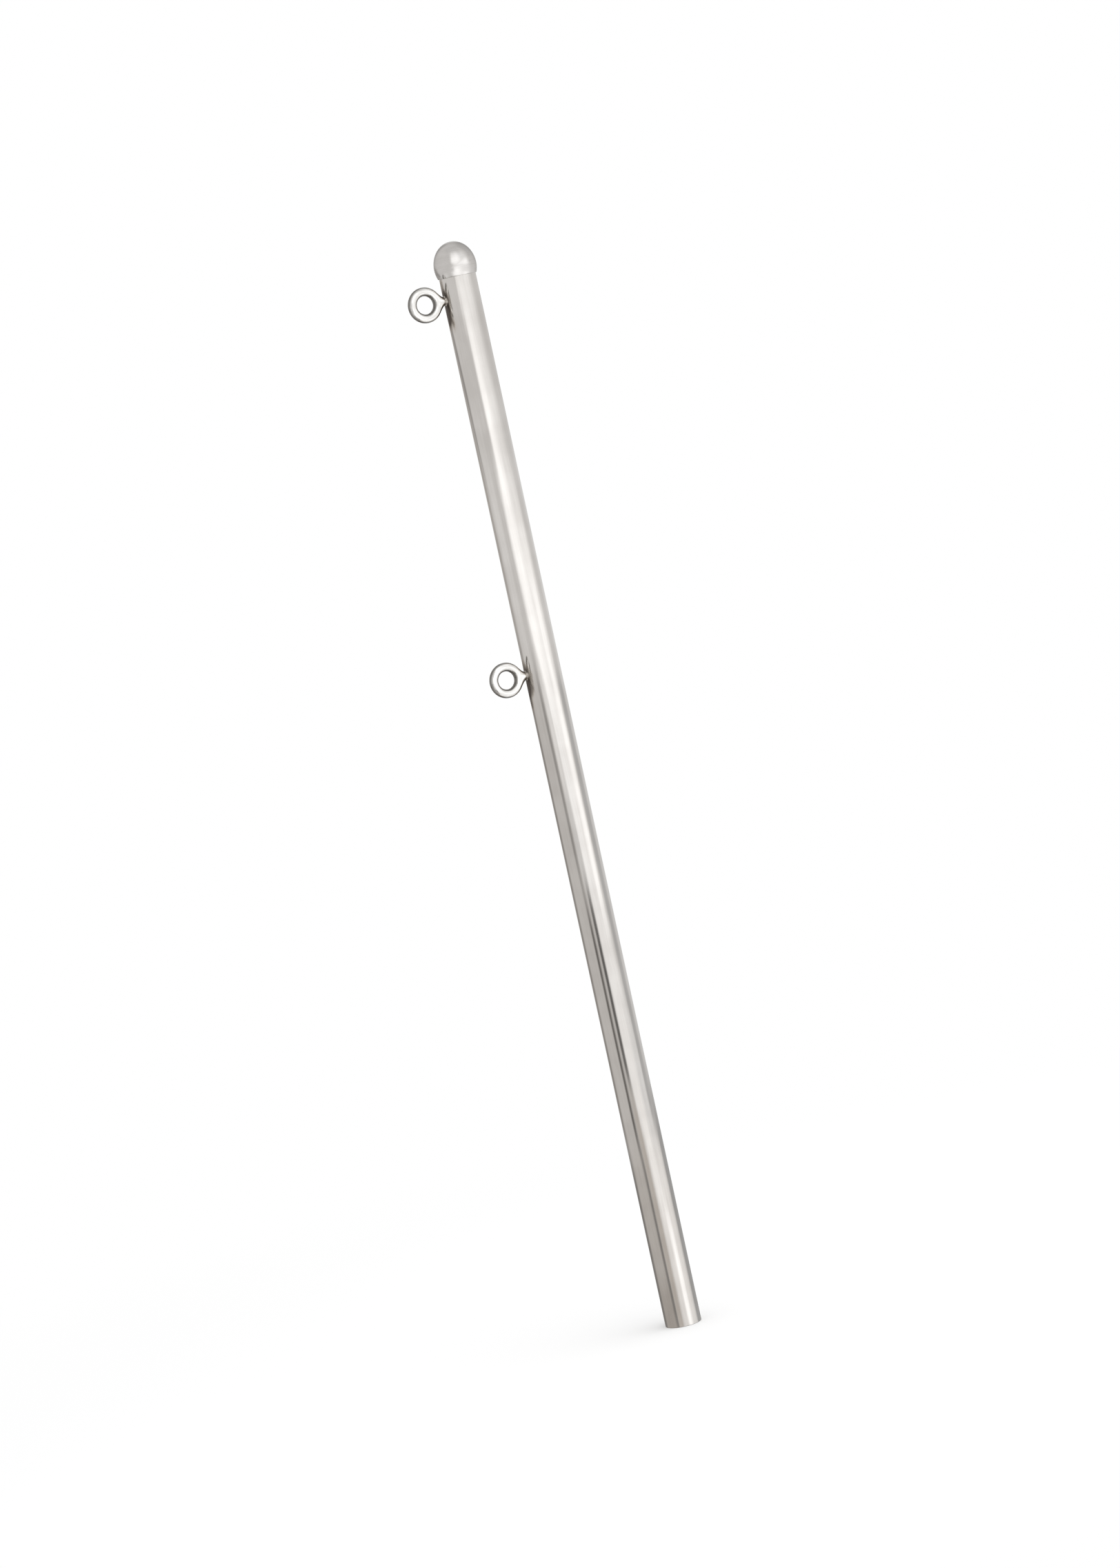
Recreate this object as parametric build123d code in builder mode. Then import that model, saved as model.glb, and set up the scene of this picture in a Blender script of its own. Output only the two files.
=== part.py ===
from build123d import *

import os
from math import radians, sin, tan

# A short flagpole for a socket on a boat: a polished tube, a bulb-shaped cap let into its head,
# and two closed wire eyes on one side that take the flag's clips.
#
# Millimetres. +Z runs up the pole, the origin is the centre of the tube's square-cut foot, and
# both eyes point along -X with their holes running along Y.

# --- Driving dimensions -------------------------------------------------------------------------

# Pole
overall_length = 750.0      # foot to the crown of the cap
tube_diameter = 25.0
tube_wall = 1.5
foot_edge_break = 0.3       # chamfer on both rims of the foot

# Cap
cap_overhang = 1.85         # radial, beyond the tube's side at the cap's widest level
cap_height = 23.5           # tube's end to crown
cap_crown_rise = 16.6       # widest level to crown
cap_rim_radius = 0.5        # rounding of the cap's lower rim
spigot_length = 12.0
spigot_lead = 1.0           # chamfer that starts the spigot into the tube
spigot_clearance = 0.05     # radial, filled by the bond

# Eyes
eye_names = ["upper_eye", "lower_eye"]
eye_spacing = 256.0
upper_eye_drop = 38.0       # crown of the cap to the upper eye
eye_hole_diameter = 12.0
eye_wire_diameter = 6.0
crotch_standoff = 2.6       # tube's surface to the point where the legs' axes meet
leg_angle = 47.5            # between the shank and each leg that braces the ring, in degrees
leg_root_step = 0.1         # a leg leaves the ring this far inside the wire's surface
leg_tip_step = 0.05         # and ends this far inside the shank's surface
shank_diameter = 5.0
shank_clearance = 0.05      # radial, in the hole through the tube's wall, filled by the weld
shank_set_back = 0.3        # from the tube's bore to the shank's end
neck_radius = 1.5           # hollow where the shank meets the legs

# --- Sizes that follow --------------------------------------------------------------------------

tube_radius = tube_diameter / 2
bore_radius = tube_radius - tube_wall
tube_length = overall_length - cap_height

cap_radius = tube_radius + cap_overhang
cap_widest_level = cap_height - cap_crown_rise
spigot_radius = bore_radius - spigot_clearance

wire_radius = eye_wire_diameter / 2
ring_radius = eye_hole_diameter / 2 + wire_radius
ring_standoff = crotch_standoff + ring_radius / sin(radians(leg_angle))
leg_length = ring_radius / tan(radians(leg_angle))
shank_radius = shank_diameter / 2
shank_hole_radius = shank_radius + shank_clearance
shank_depth = tube_wall - shank_set_back
upper_eye_height = overall_length - upper_eye_drop
eye_heights = [upper_eye_height - i * eye_spacing for i in range(len(eye_names))]


# --- Pole tube ----------------------------------------------------------------------------------

def wall_plane(height):
    """Plane on the eyes' side of the tube at a height, facing straight out of the wall."""
    return Plane(origin=(-tube_radius, 0, height), x_dir=(0, 1, 0), z_dir=(-1, 0, 0))


with BuildPart() as pole_tube:
    with BuildSketch():
        Circle(tube_radius)
        Circle(bore_radius, mode=Mode.SUBTRACT)
    extrude(amount=tube_length)
    foot_rims = pole_tube.edges().filter_by(GeomType.CIRCLE).group_by(Axis.Z)[0]
    chamfer(foot_rims, length=foot_edge_break)
    # The wall curves away beside each hole, so the drill runs on past the wall's thickness.
    for eye_height in eye_heights:
        with Locations(wall_plane(eye_height)):
            Hole(shank_hole_radius, depth=2 * tube_wall)


# --- Bulb cap -----------------------------------------------------------------------------------

# Half section, with the tube's end as its base line: an upright ellipse, cut off square a little
# below its widest level, on a spigot with a chamfered lead.
cap_plane = Plane(origin=(0, 0, tube_length), x_dir=(1, 0, 0), z_dir=(0, -1, 0))

with BuildPart() as bulb_cap:
    with BuildSketch(cap_plane) as half_section:
        with Locations((0, cap_widest_level)):
            Ellipse(cap_radius, cap_crown_rise)
        Rectangle(
            2 * cap_radius, cap_height, align=(Align.CENTER, Align.MAX), mode=Mode.SUBTRACT
        )
        Rectangle(cap_radius, cap_height, align=(Align.MAX, Align.MIN), mode=Mode.SUBTRACT)
        rim = half_section.vertices().group_by(Axis.Y)[0].sort_by(Axis.X)[-1]
        fillet(rim, radius=cap_rim_radius)
        Rectangle(spigot_radius, spigot_length, align=(Align.MIN, Align.MAX))
        spigot_end = half_section.vertices().group_by(Axis.Y)[0].sort_by(Axis.X)[-1]
        chamfer(spigot_end, length=spigot_lead)
    revolve(axis=Axis.Z)


# --- Wire eyes ----------------------------------------------------------------------------------

def wire_eye(height):
    """A closed ring of round wire on a short shank, braced by two legs that leave it at a tangent.

    The legs taper to the crotch, where they meet on the shank's axis. The shank runs from inside
    the ring's wire, through the tube's wall, and stops short of the bore.
    """
    ring_plane = Plane(origin=(-tube_radius - ring_standoff, 0, height), z_dir=(0, 1, 0))
    crotch = Vector(-tube_radius - crotch_standoff, 0, height)
    with BuildPart() as eye:
        with Locations(ring_plane):
            Torus(ring_radius, wire_radius)
        for side in (1, -1):
            to_ring = Vector(-1, 0, 0).rotate(Axis.Y, side * leg_angle)
            with Locations(Plane(origin=crotch, z_dir=to_ring)):
                Cone(
                    shank_radius - leg_tip_step,
                    wire_radius - leg_root_step,
                    leg_length,
                    align=(Align.CENTER, Align.CENTER, Align.MIN),
                )
        with BuildSketch(wall_plane(height).offset(-shank_depth)):
            Circle(shank_radius)
        extrude(amount=shank_depth + ring_standoff - ring_radius)
        neck = eye.edges().filter_by(GeomType.LINE, reverse=True)
        neck = neck.filter_by_position(Axis.X, crotch.X, -tube_radius)
        fillet(neck, radius=neck_radius)
    return eye


eyes = [wire_eye(eye_height) for eye_height in eye_heights]


# --- Files --------------------------------------------------------------------------------------

os.makedirs("parts", exist_ok=True)

pole_tube.part.label = "pole_tube"
export_step(pole_tube.part, "parts/pole_tube.step")

bulb_cap.part.label = "bulb_cap"
export_step(bulb_cap.part, "parts/bulb_cap.step")

for eye_name, eye in zip(eye_names, eyes):
    eye.part.label = eye_name
    export_step(eye.part, f"parts/{eye_name}.step")
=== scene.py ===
from math import cos, radians, sin, tan

import bpy
import numpy as np
from mathutils import Matrix, Vector


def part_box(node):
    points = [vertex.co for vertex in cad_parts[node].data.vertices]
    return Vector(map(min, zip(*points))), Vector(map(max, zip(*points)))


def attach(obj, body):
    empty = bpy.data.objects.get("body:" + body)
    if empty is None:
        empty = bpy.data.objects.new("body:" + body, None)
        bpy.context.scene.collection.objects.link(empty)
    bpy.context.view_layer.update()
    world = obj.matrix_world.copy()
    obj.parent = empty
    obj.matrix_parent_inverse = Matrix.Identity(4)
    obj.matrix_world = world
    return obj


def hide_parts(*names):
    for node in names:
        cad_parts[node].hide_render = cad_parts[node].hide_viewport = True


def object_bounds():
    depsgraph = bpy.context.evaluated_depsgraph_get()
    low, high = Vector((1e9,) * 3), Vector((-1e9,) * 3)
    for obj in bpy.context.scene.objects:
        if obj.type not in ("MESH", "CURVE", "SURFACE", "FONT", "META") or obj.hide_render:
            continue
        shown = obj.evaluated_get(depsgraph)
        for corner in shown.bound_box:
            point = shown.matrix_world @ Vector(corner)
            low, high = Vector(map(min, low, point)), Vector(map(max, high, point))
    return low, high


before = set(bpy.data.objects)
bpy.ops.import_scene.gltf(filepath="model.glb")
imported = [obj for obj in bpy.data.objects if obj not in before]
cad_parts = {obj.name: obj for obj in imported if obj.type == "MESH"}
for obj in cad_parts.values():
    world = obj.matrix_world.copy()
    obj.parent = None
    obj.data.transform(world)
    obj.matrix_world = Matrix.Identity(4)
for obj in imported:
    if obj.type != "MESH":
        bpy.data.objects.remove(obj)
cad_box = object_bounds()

# A short polished flagpole: its tube, its bulb-shaped cap and its two wire eyes, in a white studio.
#
# Metres, in the row's own frame: +Z up the pole, the origin at the centre of its foot, and the
# eyes towards -X. The sizes under "Sizes" are in millimetres, as a maker would give them.

MM = 0.001

# --- Sizes ----------------------------------------------------------------------------------------

# From the frame
tube_low, tube_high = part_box("pole_tube")
cap_low, cap_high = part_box("bulb_cap")
TUBE_RADIUS = tube_high.x / MM
TUBE_LENGTH = tube_high.z / MM
CAP_RADIUS = cap_high.x / MM
CAP_CROWN = cap_high.z / MM
SPIGOT_END = cap_low.z / MM

# Of the pole and its cap
TUBE_WALL = 1.5
BORE_RADIUS = TUBE_RADIUS - TUBE_WALL
FOOT_EDGE_BREAK = 0.3
CAP_CROWN_RISE = 16.6           # widest level to crown
CAP_RIM_RADIUS = 0.5            # rounding of the cap's lower rim
SPIGOT_CLEARANCE = 0.05         # radial, in the tube's bore
SPIGOT_LEAD = 1.0               # chamfer on the spigot's end

# Of an eye, from the centre of its ring
WIRE_RADIUS = 3.0
RING_RADIUS = 9.0               # to the middle of the wire
LEG_ANGLE = radians(47.5)       # between the shank and each leg
LEG_TIP_RADIUS = 2.45           # at the crotch
LEG_ROOT_RADIUS = 2.9           # at the ring
SHANK_RADIUS = 2.5
SHANK_START = 11.0              # inside the ring's wire
SHANK_TIP = 16.1                # inside the tube's wall
CROTCH = RING_RADIUS / sin(LEG_ANGLE)

# Of the rounding where an eye's parts join
SHANK_BLEND = 2.0               # ring and shank
LEG_BLEND = 2.2                 # shank and leg, at the crotch
LEG_BLEND_LOSS = 2.0            # how much less that is where the leg lies along the ring
LEG_FADE = 1.2                  # how fast it falls along the leg
FOLD_ROUNDING = 0.5             # of the fold between the two legs

# Of the weld round the shank, where it enters the tube
WELD_RADIUS = 3.5               # on the tube
WELD_HEIGHT = 0.85              # up the shank
WELD_DEPTH = 0.3                # under the tube's surface
WELD_OVERLAP = 0.05             # into the shank
WELD_LIFT = 0.02                # of its thin edge, off the tube's surface
WELD_LAPS = 0.03                # its small waves
WELD_SWAY = 0.12                # and its slow ones

# How finely the surfaces are divided
ROUND_STEPS = 256               # round the pole
TUBE_LEVELS = 48
ELLIPSE_STEPS = 2000            # where the cap's rim meets its dome
RIM_STEPS = 9
DOME_STEPS = 110
OUTLINE_STEPS = 6001            # where an eye's outline is measured
EYE_STEPS = (400, 64)           # round the ring's centre, and round its wire
WELD_STEPS = (144, 18)          # round the shank, and over the hollow


# --- Surfaces -------------------------------------------------------------------------------------

def add_object(name, data):
    """A new object in the scene."""
    added = bpy.data.objects.new(name, data)
    bpy.context.scene.collection.objects.link(added)
    return added


def make_piece(name, points, faces, nodes=(), smooth_below=35):
    """A mesh object from points in millimetres and faces, smooth but for edges that turn more than
    an angle in degrees. It rides on the pole."""
    mesh = bpy.data.meshes.new(name)
    mesh.from_pydata(points * MM, [], faces)
    mesh.polygons.foreach_set("use_smooth", np.ones(len(mesh.polygons), bool))
    mesh.set_sharp_from_angle(angle=radians(smooth_below))
    mesh.validate()
    piece = add_object(name, mesh)
    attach(piece, "root")
    if nodes:
        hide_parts(*nodes)
    return piece


def turns(steps):
    """Even angles round a full turn, without the last, as a column."""
    return np.linspace(0, 2 * np.pi, steps, endpoint=False)[:, None]


def grid_faces(rows, columns, closed=True):
    """Quads of a grid of points. Its last row joins its first, and so does its last column where
    the grid is closed."""
    last = columns if closed else columns - 1
    i, j = np.meshgrid(np.arange(rows), np.arange(last), indexing="ij")
    ni, nj = (i + 1) % rows, (j + 1) % columns
    corners = (i * columns + j, ni * columns + j, ni * columns + nj, i * columns + nj)
    return np.stack(corners, -1).reshape(-1, 4).tolist()


def carry_round(profile):
    """The points of a profile of (radius, height) at even angles round the Z axis.

    The point at angle a is (radius cos a, radius sin a, height). A profile that runs up the
    outside and down the inside faces outwards.
    """
    turn = turns(ROUND_STEPS)
    radius, height = profile[:, 0], profile[:, 1]
    grid = np.stack((radius * np.cos(turn), radius * np.sin(turn), height + 0 * turn), -1)
    return grid.reshape(-1, 3)


def revolve_between_poles(profile):
    """A profile of (radius, height) from the axis below to the axis above, carried round the Z axis.

    Each of its two ends is one point that a fan of triangles closes.
    """
    columns = len(profile) - 2
    ends = [(0, 0, profile[0, 1]), (0, 0, profile[-1, 1])]
    points = np.concatenate((carry_round(profile[1:-1]), ends))
    row = np.arange(ROUND_STEPS) * columns
    after = np.roll(row, -1)
    low = np.full(ROUND_STEPS, ROUND_STEPS * columns)
    high = low + 1
    bottom = np.stack((low, after, row), -1).tolist()
    top = np.stack((high, row + columns - 1, after + columns - 1), -1).tolist()
    return points, grid_faces(ROUND_STEPS, columns, closed=False) + bottom + top


# --- Pole tube ------------------------------------------------------------------------------------

def make_tube():
    """The tube's wall: up the outside in even steps, over the end, down the bore, round the foot."""
    levels = np.linspace(FOOT_EDGE_BREAK, TUBE_LENGTH, TUBE_LEVELS)
    outside = np.stack((np.full_like(levels, TUBE_RADIUS), levels), -1)
    inside = np.stack((np.full_like(levels, BORE_RADIUS), levels), -1)[::-1]
    foot = [(BORE_RADIUS + FOOT_EDGE_BREAK, 0), (TUBE_RADIUS - FOOT_EDGE_BREAK, 0)]
    profile = np.concatenate((outside, inside, foot))
    faces = grid_faces(ROUND_STEPS, len(profile))
    return make_piece("tube_skin", carry_round(profile), faces, ["pole_tube"])


# --- Bulb cap -------------------------------------------------------------------------------------

def make_cap():
    """The cap's half section, from the spigot's end round the rim and over the ellipse to the crown.

    The ellipse is (a cos t, b sin t) about its centre, which is the widest level. The rim's arc
    touches the ellipse and the flat of the seam: its centre lies one rim radius above the seam and
    one inside the ellipse, measured along the ellipse's normal.
    """
    def on_ellipse(t):
        height = CAP_CROWN - CAP_CROWN_RISE + CAP_CROWN_RISE * np.sin(t)
        return np.stack((CAP_RADIUS * np.cos(t), height), -1)

    t = np.linspace(-np.pi / 2, 0, ELLIPSE_STEPS)
    normal = np.stack((np.cos(t) / CAP_RADIUS, np.sin(t) / CAP_CROWN_RISE), -1)
    normal /= np.linalg.norm(normal, axis=1)[:, None]
    inner = on_ellipse(t) - CAP_RIM_RADIUS * normal
    meet = np.interp(TUBE_LENGTH + CAP_RIM_RADIUS, inner[:, 1], t)
    rim_centre = [np.interp(meet, t, inner[:, k]) for k in (0, 1)]
    outwards, upwards = (np.interp(meet, t, normal[:, k]) for k in (0, 1))
    a = np.linspace(-np.pi / 2, np.arctan2(upwards, outwards), RIM_STEPS)
    rim = rim_centre + CAP_RIM_RADIUS * np.stack((np.cos(a), np.sin(a)), -1)
    dome = on_ellipse(np.linspace(meet, np.pi / 2, DOME_STEPS)[1:])
    spigot = BORE_RADIUS - SPIGOT_CLEARANCE
    start = [
        (0, SPIGOT_END),
        (spigot - SPIGOT_LEAD, SPIGOT_END),
        (spigot, SPIGOT_END + SPIGOT_LEAD),
        (spigot, TUBE_LENGTH),
    ]
    points, faces = revolve_between_poles(np.concatenate((start, rim, dome)))
    return make_piece("cap_skin", points, faces, ["bulb_cap"])


# --- Wire eyes ------------------------------------------------------------------------------------

def smooth_union(a, b, blend):
    """The nearer of two distances, rounded where they differ by less than blend."""
    overlap = np.clip(blend - np.abs(a - b), 0, None) / blend
    return np.minimum(a, b) - overlap**2 * blend / 4


def eye_distance(x, y, z):
    """How far a point is outside an eye, from the ring's centre with +X towards the pole.

    The ring is a torus about Y. Two tapered legs run from points on its middle circle to the
    crotch on the X axis, and the shank runs on from there with a round end. Every joint between
    them is rounded, and the legs' blend fades where they lie along the ring.
    """
    ring = np.hypot(np.hypot(x, z) - RING_RADIUS, y) - WIRE_RADIUS
    beyond = x - np.clip(x, SHANK_START, SHANK_TIP - SHANK_RADIUS)
    shank = np.sqrt(y**2 + z**2 + beyond**2) - SHANK_RADIUS
    side = np.sqrt(z**2 + FOLD_ROUNDING**2)
    length = RING_RADIUS / tan(LEG_ANGLE)
    along = np.clip(((CROTCH - x) * cos(LEG_ANGLE) + side * sin(LEG_ANGLE)) / length, 0, 1)
    near_x = CROTCH - along * length * cos(LEG_ANGLE)
    near_z = along * length * sin(LEG_ANGLE)
    radius = LEG_TIP_RADIUS + along * (LEG_ROOT_RADIUS - LEG_TIP_RADIUS)
    leg = np.sqrt((x - near_x) ** 2 + (side - near_z) ** 2 + y**2) - radius
    fade = np.clip(along * LEG_FADE, 0, 1)
    blend = LEG_BLEND - LEG_BLEND_LOSS * fade**2 * (3 - 2 * fade)
    return smooth_union(smooth_union(ring, shank, SHANK_BLEND), leg, blend)


def edge_of(inside, outside, distance, halvings=32):
    """Where distance crosses zero between two arrays, by halving the gap between them."""
    for _ in range(halvings):
        middle = (inside + outside) / 2
        within = distance(middle) < 0
        inside, outside = np.where(within, middle, inside), np.where(within, outside, middle)
    return (inside + outside) / 2


def eye_grid(rows, columns):
    """An eye's surface over its flat outline, from the ring's centre.

    One parameter goes round the ring's centre, in steps that are even along the outline. The other
    goes from the hole's edge out over one face and back over the other: it moves from the hole's
    radius to the outline's as (1 - cos b) / 2, and the face's height there is where eye_distance
    is zero.
    """
    hole = RING_RADIUS - WIRE_RADIUS
    fine = np.linspace(-np.pi, np.pi, OUTLINE_STEPS)
    reach = edge_of(
        np.full_like(fine, RING_RADIUS), np.full_like(fine, SHANK_TIP + 1),
        lambda r: eye_distance(r * np.cos(fine), 0, r * np.sin(fine)),
    )
    outline = np.stack((reach * np.cos(fine), reach * np.sin(fine)), -1)
    step = np.linalg.norm(np.diff(outline, axis=0), axis=1) + hole * np.diff(fine)
    travel = np.concatenate(([0], np.cumsum(step)))
    around = np.interp(np.linspace(0, travel[-1], rows, endpoint=False), travel, fine)[:, None]
    reach = np.interp(around, fine, reach)
    b = turns(columns).T
    radius = hole + (reach - hole) * (1 - np.cos(b)) / 2
    x, z = radius * np.cos(around), radius * np.sin(around)
    height = edge_of(
        np.zeros_like(x), np.full_like(x, WIRE_RADIUS + 1),
        lambda y: eye_distance(x, y, z),
    )
    rim = np.isclose(np.abs(np.sin(b)), 0)
    y = np.where(rim, 0, np.sign(np.sin(b)) * height)
    return np.stack((x, y, z), -1).reshape(-1, 3)


def ring_centre(node):
    """Where the frame's node has the centre of an eye's ring: x and z in millimetres."""
    low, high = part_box(node)
    return low.x / MM + RING_RADIUS + WIRE_RADIUS, (low.z + high.z) / 2 / MM


def make_eye(node):
    """One eye, with its ring's centre where the frame's node has it."""
    x, z = ring_centre(node)
    points = eye_grid(*EYE_STEPS) + (x, 0, z)
    faces = grid_faces(*EYE_STEPS)
    return make_piece(node + "_skin", points, faces, [node], smooth_below=80)


def make_weld(name, height):
    """The weld round a shank, a small hollow.

    The profile (radius, rise) is a hollow quarter round from the shank to the tube: inner +
    spread (1 - cos s) and height (1 - sin s). It then goes back under the tube's surface. At
    angle b round the shank, a radius r is the point y = r cos b, z = r sin b, and x is the tube's
    surface there, -sqrt(R^2 - y^2), less the rise. The spread and the height swell and shrink a
    little with b, as a weld's laps do: eleven small waves, unevenly spaced, on two slow ones.
    """
    rows, columns = WELD_STEPS
    b, s = turns(rows), np.linspace(0, np.pi / 2, columns)
    sway = np.sin(2 * b + 1)
    laps = WELD_LAPS * np.sin(11 * b + 1.2 * sway) + WELD_SWAY * sway
    inner = SHANK_RADIUS - WELD_OVERLAP
    radius = inner + (WELD_RADIUS - inner + laps) * (1 - np.cos(s))
    rise = (WELD_HEIGHT + laps) * (1 - np.sin(s)) + WELD_LIFT
    under = np.concatenate((radius[:, -1:], np.full_like(b, inner)), 1)
    radius = np.concatenate((radius, under), 1)
    rise = np.concatenate((rise, np.full_like(under, -WELD_DEPTH)), 1)
    y, z = radius * np.cos(b), radius * np.sin(b)
    x = -np.sqrt(TUBE_RADIUS**2 - y**2) - rise
    points = np.stack((x, y, z + height), -1).reshape(-1, 3)
    return make_piece(name, points, grid_faces(*radius.shape), smooth_below=50)


# --- Camera ---------------------------------------------------------------------------------------

CAMERA_AZIMUTH = radians(-22.5)     # round the pole from -Y, towards the eyes
CAMERA_ELEVATION = radians(5.6)     # above the level of the pole's middle
CAMERA_ROLL = radians(-12.2)        # leans the pole's head to the left
CAMERA_DISTANCE = 3.2
CAMERA_OFFSET = (-0.0054, 0.0030)   # to the right and up, as the camera sees it
CAMERA_REACH = (0.05, 50)           # the nearest and farthest it sees
SENSOR_WIDTH = 36
LENS = 108.9


def make_camera():
    """The camera, aimed at the middle of the pole's height and rolled about its line of sight."""
    back = Vector((
        sin(CAMERA_AZIMUTH) * cos(CAMERA_ELEVATION),
        -cos(CAMERA_AZIMUTH) * cos(CAMERA_ELEVATION),
        sin(CAMERA_ELEVATION),
    ))
    roll = Matrix.Rotation(CAMERA_ROLL, 3, back)
    right = roll @ Vector((0, 0, 1)).cross(back).normalized()
    up = back.cross(right)
    data = bpy.data.cameras.new("camera")
    data.lens = LENS
    data.sensor_width = SENSOR_WIDTH
    data.clip_start, data.clip_end = CAMERA_REACH
    middle = Vector((0, 0, (cad_box[0].z + cad_box[1].z) / 2))
    place = middle + back * CAMERA_DISTANCE + right * CAMERA_OFFSET[0] + up * CAMERA_OFFSET[1]
    turn = Matrix((right, up, back)).transposed()
    camera = add_object("camera", data)
    camera.matrix_world = Matrix.Translation(place) @ turn.to_4x4()
    bpy.context.scene.camera = camera


# --- Nodes ----------------------------------------------------------------------------------------

def join(tree, value, socket):
    """Feeds a socket from another socket, or sets it to a number or a colour."""
    if isinstance(value, bpy.types.NodeSocket):
        tree.links.new(value, socket)
    elif value is not None:
        socket.default_value = value


def calc(tree, operation, a, b=None, c=None):
    """A Math node's result."""
    node = tree.nodes.new("ShaderNodeMath")
    node.operation = operation
    for value, socket in zip((a, b, c), node.inputs):
        join(tree, value, socket)
    return node.outputs[0]


def length_of(tree, a, b):
    """The root of a squared plus b squared."""
    return calc(tree, "SQRT", calc(tree, "MULTIPLY_ADD", a, a, calc(tree, "MULTIPLY", b, b)))


def step_up(tree, value, low, high, start=0.0, end=1.0):
    """A smooth step from start at low to end at high."""
    node = tree.nodes.new("ShaderNodeMapRange")
    node.interpolation_type = "SMOOTHSTEP"
    labels = ("Value", "From Min", "From Max", "To Min", "To Max")
    for label, part in zip(labels, (value, low, high, start, end)):
        join(tree, part, node.inputs[label])
    return node.outputs["Result"]


def step_down(tree, value, low, high):
    """A smooth step from 1 at low to 0 at high."""
    return step_up(tree, value, low, high, 1.0, 0.0)


def object_place(tree):
    """The place of a point, in Object coordinates."""
    return tree.nodes.new("ShaderNodeTexCoord").outputs["Object"]


def axes(tree, vector):
    """A vector's parts, as outputs labelled X, Y and Z."""
    node = tree.nodes.new("ShaderNodeSeparateXYZ")
    join(tree, vector, node.inputs["Vector"])
    return node.outputs


def scaled(tree, vector, factors):
    """A vector with each part multiplied by its own factor."""
    node = tree.nodes.new("ShaderNodeVectorMath")
    node.operation = "MULTIPLY"
    join(tree, vector, node.inputs[0])
    join(tree, factors, node.inputs[1])
    return node.outputs["Vector"]


def noise(tree, vector, scale, detail=2.0, roughness=0.5):
    """Soft random values about 0.5 over a vector."""
    node = tree.nodes.new("ShaderNodeTexNoise")
    parts = {"Vector": vector, "Scale": scale, "Detail": detail, "Roughness": roughness}
    for label, part in parts.items():
        join(tree, part, node.inputs[label])
    return next(s for s in node.outputs if s.type == "VALUE")


def blend_colour(tree, share, a, b):
    """Colour a where share is 0 and b where it is 1."""
    node = tree.nodes.new("ShaderNodeMix")
    node.data_type = "RGBA"
    join(tree, share, node.inputs["Factor"])
    colours = [s for s in node.inputs if s.type == "RGBA"]
    join(tree, a, colours[0])
    join(tree, b, colours[1])
    return next(s for s in node.outputs if s.type == "RGBA")


def blend_shader(tree, share, a, b):
    """Shader a where share is 0 and b where it is 1."""
    node = tree.nodes.new("ShaderNodeMixShader")
    for value, socket in zip((share, a, b), node.inputs):
        join(tree, value, socket)
    return node.outputs["Shader"]


def new_group(name, inputs, outputs):
    """A shader node group from its sockets' labels and kinds, with what it is given and puts out."""
    group = bpy.data.node_groups.new(name, "ShaderNodeTree")
    kinds = {"float": "NodeSocketFloat", "vector": "NodeSocketVector"}
    for way, sockets in (("INPUT", inputs), ("OUTPUT", outputs)):
        for label, kind in sockets.items():
            group.interface.new_socket(label, in_out=way, socket_type=kinds[kind])
    given, out = group.nodes.new("NodeGroupInput"), group.nodes.new("NodeGroupOutput")
    return group, given.outputs, out.inputs


def put_group(tree, group, values):
    """A node group with its inputs joined or set by label, as its outputs."""
    node = tree.nodes.new("ShaderNodeGroup")
    node.node_tree = group
    for label, value in values.items():
        join(tree, value, node.inputs[label])
    return node.outputs


def new_material(name):
    """A material and its nodes."""
    material = bpy.data.materials.new(name)
    material.use_nodes = True
    return material, material.node_tree


# --- Studio ---------------------------------------------------------------------------------------

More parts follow.
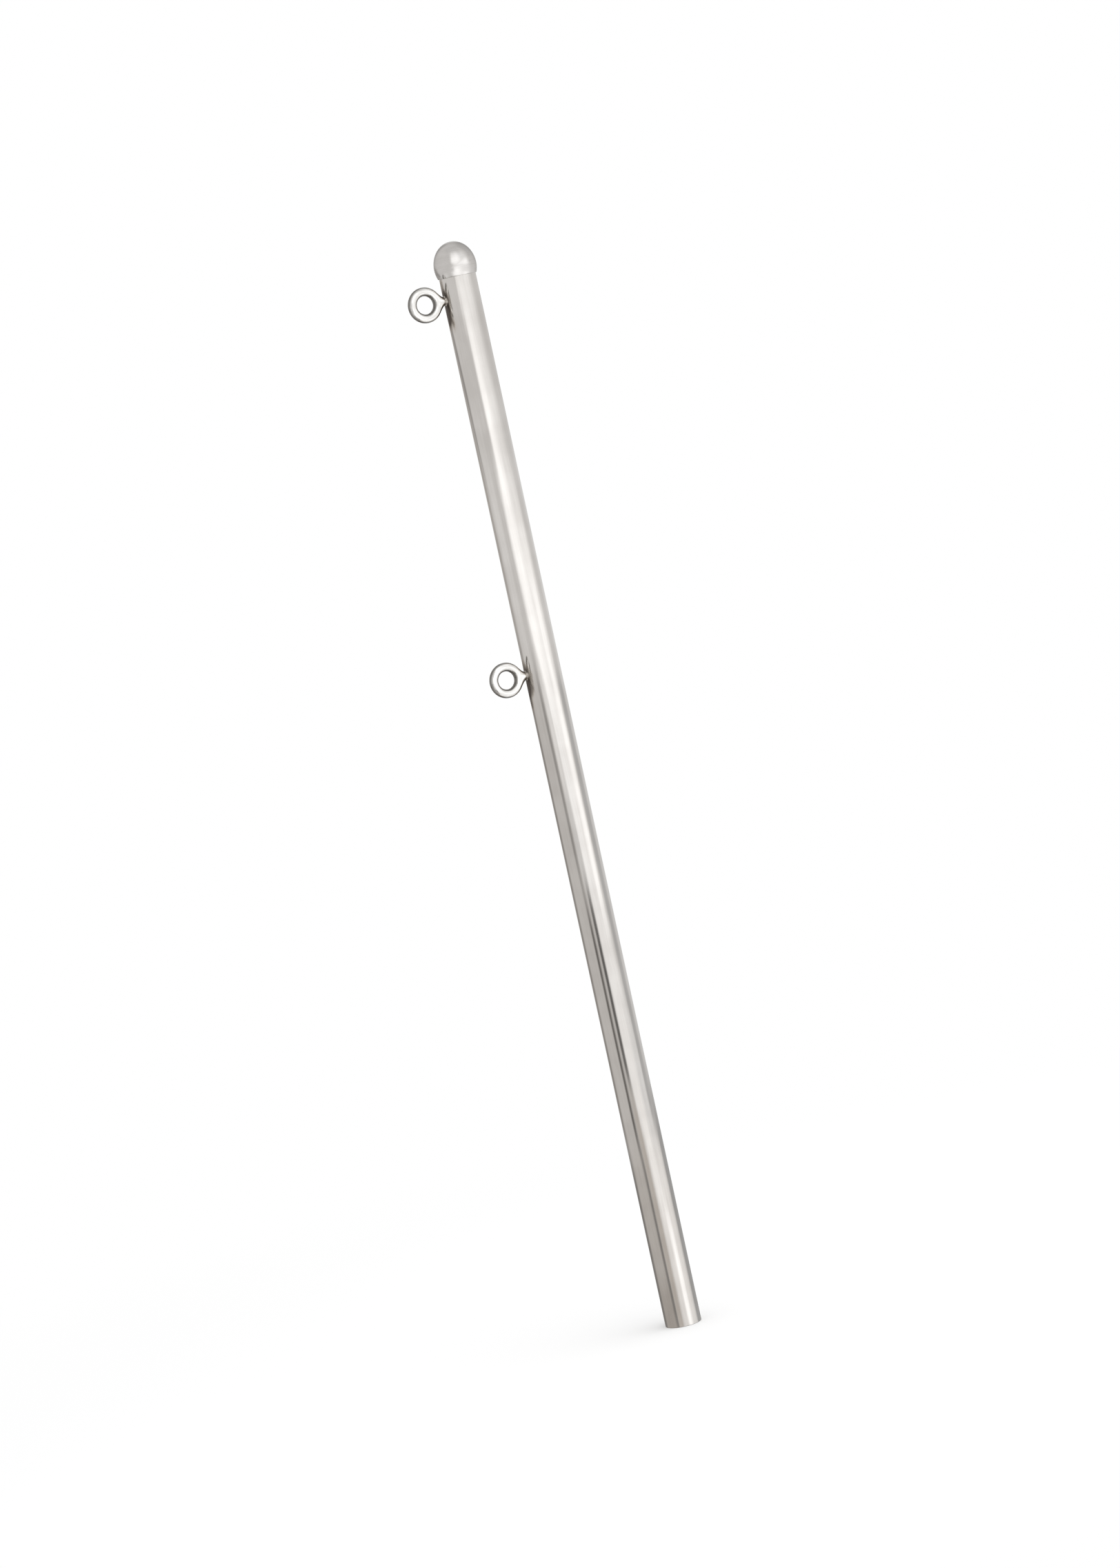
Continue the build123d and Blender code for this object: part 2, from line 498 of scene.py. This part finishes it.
# A panel on the round wall: level and warmth, then the azimuths of its left and right side from the
# camera, positive to its right, the heights of its low and high side, the four softnesses in the
# same order, and its slope. Azimuths are in degrees and heights in millimetres. Later panels lie
# over earlier ones.
PANEL_SIDES = ("Left", "Right", "Low", "High")
PANEL_LABELS = (*PANEL_SIDES, *(side + " Softness" for side in PANEL_SIDES), "Slope")
ROOM = (0.70, 0.03)
PANELS = {
    "ceiling": (0.66, 0.02, -180, 180, 1450, 9000, 1, 1, 140, 1, 0),
    "upper_right_wall": (0.58, 0.02, 98, 150, 865, 1625, 10, 10, 35, 170, 0),
    "behind_high": (0.46, 0.04, 142, 218, 790, 1250, 20, 20, 90, 260, 0),
    "behind_low": (0.30, 0.05, 130, 230, -9000, -95, 14, 14, 1, 40, 0),
    "behind_left_high": (0.48, 0.08, -200, -117, 450, 757, 10, 12, 28, 30, 0),
    "behind_left": (0.32, 0.10, -200, -117, 53, 450, 10, 12, 28, 28, 0),
    "behind_left_low": (0.24, 0.10, -200, -114, -9000, 53, 10, 12, 1, 28, 0),
    "behind_right_high": (0.79, 0.01, 120, 200, 403, 606, 10, 10, 28, 46, 0),
    "behind_right": (0.72, 0.01, 120, 200, 99, 403, 10, 10, 41, 28, 0),
    "behind_right_low": (0.44, 0.01, 116, 200, -9000, 99, 10, 10, 1, 41, 0),
    "left_wall": (0.71, 0.03, -113, -12, 426, 750, 16, 6, 18, 25, 0),
    "left_glow": (0.81, 0.02, -100, -56, 445, 597, 12, 8, 37, 37, 0),
    "left_corner": (0.38, 0.06, -139, -108, 624, 708, 8, 7, 20, 18, -3.5),
    "left_middle": (0.62, 0.05, -122, -12, 53, 426, 14, 6, 23, 18, 0),
    "left_low": (0.55, 0.09, -122, -28, -40, 53, 16, 6, 23, 23, 0),
    "left_foot": (0.45, 0.13, -122, -28, -9000, -40, 16, 6, 1, 23, 0),
    "middle_low": (0.57, 0.13, -28, 2, -9000, 94, 6, 8, 1, 23, 0),
    "right_wall": (0.74, 0.02, 84, 122, 422, 643, 10, 10, 18, 55, 0),
    "right_middle": (0.53, 0.0, 84, 116, 67, 422, 8, 10, 18, 18, 0),
    "right_low": (0.42, 0.0, 104, 150, -9000, 67, 8, 12, 1, 18, 0),
    "lower_box": (1.15, 0.0, -30, 58, -500, -120, 14, 14, 120, 35, 0),
    "sweep_high": (1.05, 0.01, -6, 73, 570, 754, 8, 28, 55, 23, 0),
    "sweep_upper": (1.15, 0.01, -6, 83, 414, 570, 8, 15, 32, 55, 0),
    "sweep_middle": (1.14, 0.01, -3, 76, 260, 426, 7, 8, 28, 28, 0),
    "sweep_low": (1.05, 0.01, -2, 70, 64, 263, 7, 22, 28, 28, 0),
    "sweep_foot": (0.97, 0.03, 4, 96, -95, 66, 12, 17, 37, 28, 0),
    "foot_rise": (1.10, 0.02, 13, 42, 2, 108, 9, 12, 28, 37, 0),
    "sweep_dim": (0.88, 0.0, 48, 84, 67, 159, 10, 8, 28, 37, 0),
    "dome_glow": (1.20, 0.0, -6, 78, 740, 888, 14, 13, 7, 57, 0),
    "dome_right": (1.31, 0.0, 46, 69, 733, 860, 12, 12, 7, 45, 0),
    "upper_glow": (1.02, 0.0, 20, 78, 882, 1140, 14, 18, 50, 280, 0),
    "key": (1.37, 0.0, -9, 26, 394, 698, 9, 22, 37, 46, 0),
    "key_low": (1.16, 0.0, -3, 26, 263, 399, 8, 16, 28, 28, 0),
    "key_wide": (1.34, 0.0, -21, 2, 431, 578, 14, 8, 37, 37, 0),
    "shoulder": (0.92, 0.02, -29, -7, 326, 424, 7, 9, 16, 23, 0),
    "shoulder_low": (0.75, 0.02, -30, -3, 260, 328, 5, 7, 11, 16, 0),
    "near_gap": (0.15, 0.06, -20, -5, 110, 257, 4.5, 4.5, 15, 18, 0),
    "left_gap_upper": (0.36, 0.06, -50, -35, 260, 426, 5, 7, 28, 32, 0),
    "left_gap": (0.16, 0.10, -48, -34, 57, 245, 5, 7, 18, 26, 0),
    "left_gap_low": (0.24, 0.08, -43, -29, -95, 56, 8, 6, 28, 23, 0),
    "stripe_high": (1.34, 0.0, 42, 67, 237, 505, 9, 7, 28, 41, 0),
    "stripe_low": (1.40, 0.0, 34, 60, -100, 2, 8, 13, 28, 28, 0),
    "upper_box": (1.40, 0.0, -17, 32, 818, 1200, 9, 14, 35, 430, 0),
    "dark_bar": (1.06, 0.02, -18, 50, 777, 815, 8, 8, 17, 17, 2.6),
}
OPENING = (168, 192, 240, 1100, 11, 11, 90, 150, 0)  # in the wall, on the white behind the pole
WALL_RADIUS = 0.4
WALL_STEPS = 96
WALL_HEIGHTS = (-0.8, 1.8)      # of the discs that close it
PLAIN_LEVEL = 0.9               # of the light that falls on a dull surface from all round
WHITE = (1, 1, 1, 1)

FLOOR_REACH = 3.0               # from its middle to each side
FLOOR_FADE = (0.35, 0.8)        # where it turns from lit to plain white
FLOOR_COLOUR = (0.84, 0.84, 0.84, 1)
FLOOR_GLOW = 0.085              # lifts its lit part to white

LAMP_PLACE = (0.5, -0.6, 2.2)
LAMP_SIZE = 2.0
LAMP_POWER = 16


def make_panel_group():
    """A soft-edged panel on the round wall, as a mask.

    Each of its four sides is a smooth step as wide as twice that side's softness. Slope lifts the
    panel's right end and lowers its left, in millimetres for each degree of azimuth.
    """
    inputs = dict.fromkeys(("Azimuth", "Height", *PANEL_LABELS), "float")
    group, g, out = new_group("studio_panel", inputs, {"Mask": "float"})
    middle = calc(group, "MULTIPLY", calc(group, "ADD", g["Left"], g["Right"]), 0.5)
    across = calc(group, "SUBTRACT", g["Azimuth"], middle)
    across = calc(group, "WRAP", across, 180.0, -180.0)
    rise = calc(group, "MULTIPLY", across, g["Slope"])
    above = calc(group, "SUBTRACT", g["Height"], rise)
    masks = []
    for side, value, edge, step in (
        ("Left", across, calc(group, "SUBTRACT", g["Left"], middle), step_up),
        ("Right", across, calc(group, "SUBTRACT", g["Right"], middle), step_down),
        ("Low", above, g["Low"], step_up),
        ("High", above, g["High"], step_down),
    ):
        soft = g[side + " Softness"]
        low, high = calc(group, "SUBTRACT", edge, soft), calc(group, "ADD", edge, soft)
        masks.append(step(group, value, low, high))
    sideways = calc(group, "MULTIPLY", masks[0], masks[1])
    upright = calc(group, "MULTIPLY", masks[2], masks[3])
    join(group, calc(group, "MULTIPLY", sideways, upright), out["Mask"])
    return group


def warm(level, warmth):
    """A level as a colour, with its blue lowered by a share and its green by half of that."""
    return (level, level * (1 - warmth / 2), level * (1 - warmth), 1)


def place_panel(tree, group, azimuth, height, numbers):
    """The mask of one panel."""
    values = {"Azimuth": azimuth, "Height": height, **dict(zip(PANEL_LABELS, numbers))}
    return put_group(tree, group, values)["Mask"]


def wall_paint():
    """The wall's glow, panel over panel, with the opening behind the pole left clear.

    It follows the azimuth and the height of a point in Object coordinates: azimuth is
    atan2(x, -y), turned to the camera's side.
    """
    material, tree = new_material("studio_walls")
    material.cycles.emission_sampling = "NONE"
    tree.nodes.clear()
    turned = tree.nodes.new("ShaderNodeMapping")
    turned.inputs["Rotation"].default_value[2] = -CAMERA_AZIMUTH
    join(tree, object_place(tree), turned.inputs["Vector"])
    place = axes(tree, turned.outputs["Vector"])
    towards_camera = calc(tree, "MULTIPLY", place["Y"], -1.0)
    azimuth = calc(tree, "DEGREES", calc(tree, "ARCTAN2", place["X"], towards_camera))
    height = calc(tree, "DIVIDE", place["Z"], MM)
    colour = warm(*ROOM)
    group = make_panel_group()
    for level, warmth, *numbers in PANELS.values():
        mask = place_panel(tree, group, azimuth, height, numbers)
        colour = blend_colour(tree, mask, colour, warm(level, warmth))
    paint = tree.nodes.new("ShaderNodeEmission")
    join(tree, colour, paint.inputs["Color"])
    clear = tree.nodes.new("ShaderNodeBsdfTransparent")
    opened = place_panel(tree, group, azimuth, height, OPENING)
    shader = blend_shader(tree, opened, paint.outputs["Emission"], clear.outputs["BSDF"])
    join(tree, shader, tree.nodes.new("ShaderNodeOutputMaterial").inputs["Surface"])
    return material


def make_walls():
    """A round wall about the pole's axis, closed above and below, which only its metal shows.

    The wall's points are (r cos a, r sin a, z).
    """
    turn = turns(WALL_STEPS)
    ring = WALL_RADIUS * np.concatenate((np.cos(turn), np.sin(turn)), 1)
    points = [np.column_stack((ring, np.full(WALL_STEPS, z))) for z in WALL_HEIGHTS]
    step = np.arange(WALL_STEPS)
    after = np.roll(step, -1)
    sides = np.stack((step, step + WALL_STEPS, after + WALL_STEPS, after), -1).tolist()
    discs = [step.tolist(), (step[::-1] + WALL_STEPS).tolist()]
    mesh = bpy.data.meshes.new("studio_walls")
    mesh.from_pydata(np.concatenate(points), [], sides + discs)
    mesh.materials.append(wall_paint())
    walls = add_object("studio_walls", mesh)
    walls.visible_camera = walls.visible_diffuse = walls.visible_transmission = False
    walls.visible_shadow = walls.visible_volume_scatter = False


def make_world():
    """White to the camera, and where metal or glass shows it. It lights dull surfaces plainly."""
    world = bpy.data.worlds.new("white")
    bpy.context.scene.world = world
    world.use_nodes = True
    tree = world.node_tree
    path = tree.nodes.new("ShaderNodeLightPath").outputs
    seen = calc(tree, "MAXIMUM", path["Is Camera Ray"], path["Is Glossy Ray"])
    seen = calc(tree, "MAXIMUM", seen, path["Is Transmission Ray"])
    strength = calc(tree, "MULTIPLY_ADD", seen, 1 - PLAIN_LEVEL, PLAIN_LEVEL)
    background = tree.nodes["Background"]
    background.inputs["Color"].default_value = WHITE
    join(tree, strength, background.inputs["Strength"])


def floor_paint():
    """Lit like any surface near the pole, where its shadow falls, and plain white further out."""
    material, tree = new_material("floor")
    lit = tree.nodes["Principled BSDF"]
    lit.inputs["Base Color"].default_value = FLOOR_COLOUR
    lit.inputs["Roughness"].default_value = 1.0
    lit.inputs["Specular IOR Level"].default_value = 0.0
    lit.inputs["Emission Color"].default_value = WHITE
    to_camera = tree.nodes.new("ShaderNodeLightPath").outputs["Is Camera Ray"]
    join(tree, calc(tree, "MULTIPLY", to_camera, FLOOR_GLOW), lit.inputs["Emission Strength"])
    plain = tree.nodes.new("ShaderNodeEmission")
    distance = tree.nodes.new("ShaderNodeVectorMath")
    distance.operation = "LENGTH"
    join(tree, object_place(tree), distance.inputs[0])
    far = step_up(tree, distance.outputs["Value"], *FLOOR_FADE)
    share = calc(tree, "MULTIPLY", far, to_camera)
    shader = blend_shader(tree, share, lit.outputs["BSDF"], plain.outputs["Emission"])
    join(tree, shader, tree.nodes["Material Output"].inputs["Surface"])
    return material


def make_floor():
    """A pale floor under the foot. It isn't mirrored in the metal, where the studio shows instead."""
    r = FLOOR_REACH
    mesh = bpy.data.meshes.new("floor")
    mesh.from_pydata([(-r, -r, 0), (r, -r, 0), (r, r, 0), (-r, r, 0)], [], [(0, 1, 2, 3)])
    mesh.materials.append(floor_paint())
    floor = add_object("floor", mesh)
    floor.visible_glossy = False


def make_lamp():
    """One large soft lamp overhead, which lifts the floor to white and casts the foot's shadow."""
    data = bpy.data.lights.new("overhead", "AREA")
    data.shape = "DISK"
    data.size = LAMP_SIZE
    data.energy = LAMP_POWER
    lamp = add_object("overhead", data)
    lamp.location = LAMP_PLACE
    lamp.rotation_mode = "QUATERNION"
    lamp.rotation_quaternion = lamp.location.to_track_quat("Z", "Y")
    lamp.visible_glossy = False


# --- Finishes -------------------------------------------------------------------------------------

# How lines and clouds make the tone of polished steel
LINES_SHARE = 0.45              # and the clouds have the rest
TONE_RANGE = (0.36, 0.64)       # of the two together, from darkest to brightest

# Of the heat stain beside each eye: a straw tint, with painted shade in its brown middle by the shank
STAIN_DROP = 5.0                # of its middle, below the eye
STAIN_LENGTH = 25.0             # from its middle, up and down the tube
STAIN_WIDTH = 8.0               # from its middle, to each side
STAIN_FADE = (0.45, 1.35)       # where it fades, as a share of that length and width
STAIN_UNEVEN = 0.75             # how far its edge wanders, as such a share
STAIN_END = (-7.0, -5.0)        # along X, where it fades on its way round the tube
STAIN_DULLING = 0.26            # added to the roughness
STRAW = (0.47, 0.40, 0.32, 1)
STRAW_RANGE = (0.02, 0.4)       # of the stain's mask
STRAW_SHARE = 0.55
# Painted shade: the brown towards the eye's shank
PAINTED_SHADE_BROWN = (0.125, 0.105, 0.09, 1)
PAINTED_SHADE_RANGE = (0.18, 0.72)      # of the stain's mask

# The dull bore, where the wheel doesn't reach, and the painted shade, darker and a little rougher, on
# the eyes' rims and in their holes
BORE_FADE = (0.1, 0.4)          # outside the bore's radius
BORE_DULLING = 0.28
BORE_DARK = (0.34, 0.32, 0.30, 1)
BORE_PALE = (0.56, 0.54, 0.51, 1)
# Painted shade on the eyes: on their rims, off the middle plane, and round their holes
RIM_SHADE_FADE = (1.65, 2.75)         # off the eye's middle plane
HOLE_SHADE_FADE = (6.6, 8.0)          # from the ring's centre
RIM_AND_HOLE_SHADE_DULLING = 0.12
PAINTED_RIM_AND_HOLE_SHADE = (0.27, 0.26, 0.245, 1)


def make_polish_group():
    """What a buffing wheel leaves on steel: fine lines, soft clouds and a slow wave.

    Line Stretch shrinks the place along the lines, and Wave Stretch sets how long the wave is each
    way. The depths are in millimetres, as Height is.
    """
    inputs = {
        "Place": "vector", "Line Stretch": "vector", "Lines per mm": "float",
        "Line Depth": "float", "Clouds per mm": "float", "Wave Stretch": "vector",
        "Wave Depth": "float", "Roughness": "float", "Roughness Spread": "float",
    }
    outputs = dict.fromkeys(("Tone", "Roughness", "Height"), "float")
    group, g, out = new_group("polish", inputs, outputs)
    lines = noise(group, scaled(group, g["Place"], g["Line Stretch"]), g["Lines per mm"], 4.0, 0.6)
    clouds = noise(group, g["Place"], g["Clouds per mm"], 3.0)
    wave = noise(group, scaled(group, g["Place"], g["Wave Stretch"]), 1.0, 1.0)
    mixed = calc(group, "MULTIPLY", clouds, 1 - LINES_SHARE)
    mixed = calc(group, "MULTIPLY_ADD", lines, LINES_SHARE, mixed)
    join(group, step_up(group, mixed, *TONE_RANGE), out["Tone"])
    away = calc(group, "SUBTRACT", mixed, 0.5)
    spread = calc(group, "MULTIPLY", away, g["Roughness Spread"])
    join(group, calc(group, "ADD", g["Roughness"], spread), out["Roughness"])
    height = calc(group, "MULTIPLY", lines, g["Line Depth"])
    join(group, calc(group, "MULTIPLY_ADD", wave, g["Wave Depth"], height), out["Height"])
    return group


def make_stain_and_shade_group():
    """The heat stain of a weld on the tube's -X side, with painted shade in its middle, as a mask
    that rises towards the eye's shank.

    It is an oval with an uneven edge, longer up and down the tube, and its middle is a little
    below the eye.
    """
    inputs = {"Place": "vector", "Eye Height": "float"}
    group, g, out = new_group("heat_stain_and_shade", inputs, {"Mask": "float"})
    place = axes(group, g["Place"])
    up = calc(group, "SUBTRACT", place["Z"], g["Eye Height"])
    along = calc(group, "DIVIDE", calc(group, "ADD", up, STAIN_DROP), STAIN_LENGTH)
    across = calc(group, "DIVIDE", place["Y"], STAIN_WIDTH)
    uneven = noise(group, scaled(group, g["Place"], (1.0, 1.0, 0.4)), 0.22, 1.5, 0.45)
    edge = calc(group, "MULTIPLY_ADD", uneven, STAIN_UNEVEN, length_of(group, along, across))
    mask = step_down(group, edge, *STAIN_FADE)
    eyes_side = step_down(group, place["X"], *STAIN_END)
    join(group, calc(group, "MULTIPLY", mask, eyes_side), out["Mask"])
    return group


def start_steel(name):
    """A metal's material, with its nodes, its shader and its place in millimetres."""
    material, tree = new_material(name)
    shader = tree.nodes["Principled BSDF"]
    shader.inputs["Metallic"].default_value = 1.0
    return material, tree, shader, scaled(tree, object_place(tree), (1 / MM,) * 3)


def finish_steel(tree, shader, colour, roughness, height):
    """Feeds the shader, with the height in millimetres as a bump."""
    bump = tree.nodes.new("ShaderNodeBump")
    bump.inputs["Distance"].default_value = MM
    join(tree, height, bump.inputs["Height"])
    join(tree, bump.outputs["Normal"], shader.inputs["Normal"])
    join(tree, colour, shader.inputs["Base Color"])
    join(tree, roughness, shader.inputs["Roughness"])


def tube_finish(polish, heat, eye_heights):
    """Mirror-polished tube with faint lines along it, stained at the welds with painted shade in the
    stains' brown middles, and dull in the bore.
    """
    material, tree, shader, place = start_steel("polished_tube")
    polished = put_group(tree, polish, {
        "Place": place, "Line Stretch": (1.0, 1.0, 0.03), "Lines per mm": 1.1,
        "Line Depth": 0.0012, "Clouds per mm": 0.05, "Wave Stretch": (0.11, 0.11, 0.014),
        "Wave Depth": 0.06, "Roughness": 0.10, "Roughness Spread": 0.16,
    })
    colour = blend_colour(tree, polished["Tone"], (0.70, 0.675, 0.65, 1), (0.77, 0.747, 0.722, 1))
    # The stains' mask: a straw tint at its edge, and painted shade in brown at its middle
    stain = 0.0
    for eye_height in eye_heights:
        mask = put_group(tree, heat, {"Place": place, "Eye Height": eye_height})["Mask"]
        stain = calc(tree, "MAXIMUM", mask, stain)
    tinted = step_up(tree, stain, *STRAW_RANGE)
    colour = blend_colour(tree, calc(tree, "MULTIPLY", tinted, STRAW_SHARE), colour, STRAW)
    colour = blend_colour(tree, step_up(tree, stain, *PAINTED_SHADE_RANGE), colour, PAINTED_SHADE_BROWN)
    parts = axes(tree, place)
    radius = length_of(tree, parts["X"], parts["Y"])
    bore = step_down(tree, radius, *(BORE_RADIUS + fade for fade in BORE_FADE))
    dull = blend_colour(tree, noise(tree, place, 0.6, 4.0), BORE_DARK, BORE_PALE)
    colour = blend_colour(tree, bore, colour, dull)
    roughness = calc(tree, "MULTIPLY_ADD", tinted, STAIN_DULLING, polished["Roughness"])
    roughness = calc(tree, "MULTIPLY_ADD", bore, BORE_DULLING, roughness)
    finish_steel(tree, shader, colour, roughness, polished["Height"])
    return material


def cap_finish(polish):
    """Polished casting with faint turned rings and a softer shine than the tube's.

    At a grazing angle steel mirrors less than the shader's own metal, which its Specular Tint
    allows for, so that the dome keeps its outline against white.
    """
    material, tree, shader, place = start_steel("polished_cap")
    shader.inputs["Specular Tint"].default_value = (0.75, 0.75, 0.75, 1)
    polished = put_group(tree, polish, {
        "Place": place, "Line Stretch": (0.05, 0.05, 1.0), "Lines per mm": 1.6,
        "Line Depth": 0.0007, "Clouds per mm": 0.09, "Wave Stretch": (0.10, 0.10, 0.16),
        "Wave Depth": 0.02, "Roughness": 0.19, "Roughness Spread": 0.20,
    })
    colour = blend_colour(tree, polished["Tone"], (0.69, 0.67, 0.65, 1), (0.77, 0.75, 0.735, 1))
    finish_steel(tree, shader, colour, polished["Roughness"], polished["Height"])
    return material


def wire_finish(polish, centres):
    """Polished wire, with painted shade that darkens the eyes' rims and their holes."""
    material, tree, shader, place = start_steel("polished_wire")
    polished = put_group(tree, polish, {
        "Place": place, "Line Stretch": (1.0, 1.0, 1.0), "Lines per mm": 0.9,
        "Line Depth": 0.0015, "Clouds per mm": 0.16, "Wave Stretch": (0.25, 0.25, 0.25),
        "Wave Depth": 0.008, "Roughness": 0.10, "Roughness Spread": 0.14,
    })
    colour = blend_colour(tree, polished["Tone"], (0.79, 0.78, 0.76, 1), (0.88, 0.87, 0.85, 1))
    parts = axes(tree, place)
    # Painted shade: darker and a little rougher on the rims, off the eye's middle plane, and round
    # the holes
    off_rim = calc(tree, "ABSOLUTE", parts["Y"])
    off_rim = calc(tree, "MULTIPLY_ADD", noise(tree, place, 0.5), 0.5, off_rim)
    painted_rim_and_hole_shade = step_down(tree, off_rim, *RIM_SHADE_FADE)
    for ring_x, ring_z in centres:
        across = calc(tree, "SUBTRACT", parts["X"], ring_x)
        up = calc(tree, "SUBTRACT", parts["Z"], ring_z)
        hole = step_down(tree, length_of(tree, across, up), *HOLE_SHADE_FADE)
        painted_rim_and_hole_shade = calc(tree, "MAXIMUM", painted_rim_and_hole_shade, hole)
    colour = blend_colour(tree, painted_rim_and_hole_shade, colour, PAINTED_RIM_AND_HOLE_SHADE)
    roughness = calc(tree, "MULTIPLY_ADD", painted_rim_and_hole_shade, RIM_AND_HOLE_SHADE_DULLING, polished["Roughness"])
    finish_steel(tree, shader, colour, roughness, polished["Height"])
    return material


def weld_finish(polish):
    """The weld itself, which its own heat has left straw-coloured and brown."""
    material, tree, shader, place = start_steel("tinted_weld")
    polished = put_group(tree, polish, {
        "Place": place, "Line Stretch": (1.0, 1.0, 1.0), "Lines per mm": 1.2,
        "Line Depth": 0.003, "Clouds per mm": 0.7, "Wave Stretch": (0.5, 0.5, 0.5),
        "Wave Depth": 0.02, "Roughness": 0.20, "Roughness Spread": 0.16,
    })
    colour = blend_colour(tree, polished["Tone"], (0.36, 0.32, 0.28, 1), (0.70, 0.66, 0.61, 1))
    finish_steel(tree, shader, colour, polished["Roughness"], polished["Height"])
    return material


# --- Making ---------------------------------------------------------------------------------------

make_camera()
make_walls()
make_world()
make_floor()
make_lamp()

# heat is the stains' group, which also carries their painted shade
polish, heat = make_polish_group(), make_stain_and_shade_group()
eyes = ("upper_eye", "lower_eye")
centres = [ring_centre(eye) for eye in eyes]
eye_heights = [z for _, z in centres]
wire, weld_steel = wire_finish(polish, centres), weld_finish(polish)
for eye, height in zip(eyes, eye_heights):
    make_eye(eye).data.materials.append(wire)
    make_weld(eye + "_weld", height).data.materials.append(weld_steel)
make_tube().data.materials.append(tube_finish(polish, heat, eye_heights))
make_cap().data.materials.append(cap_finish(polish))

bpy.context.scene.view_settings.view_transform = "Standard"
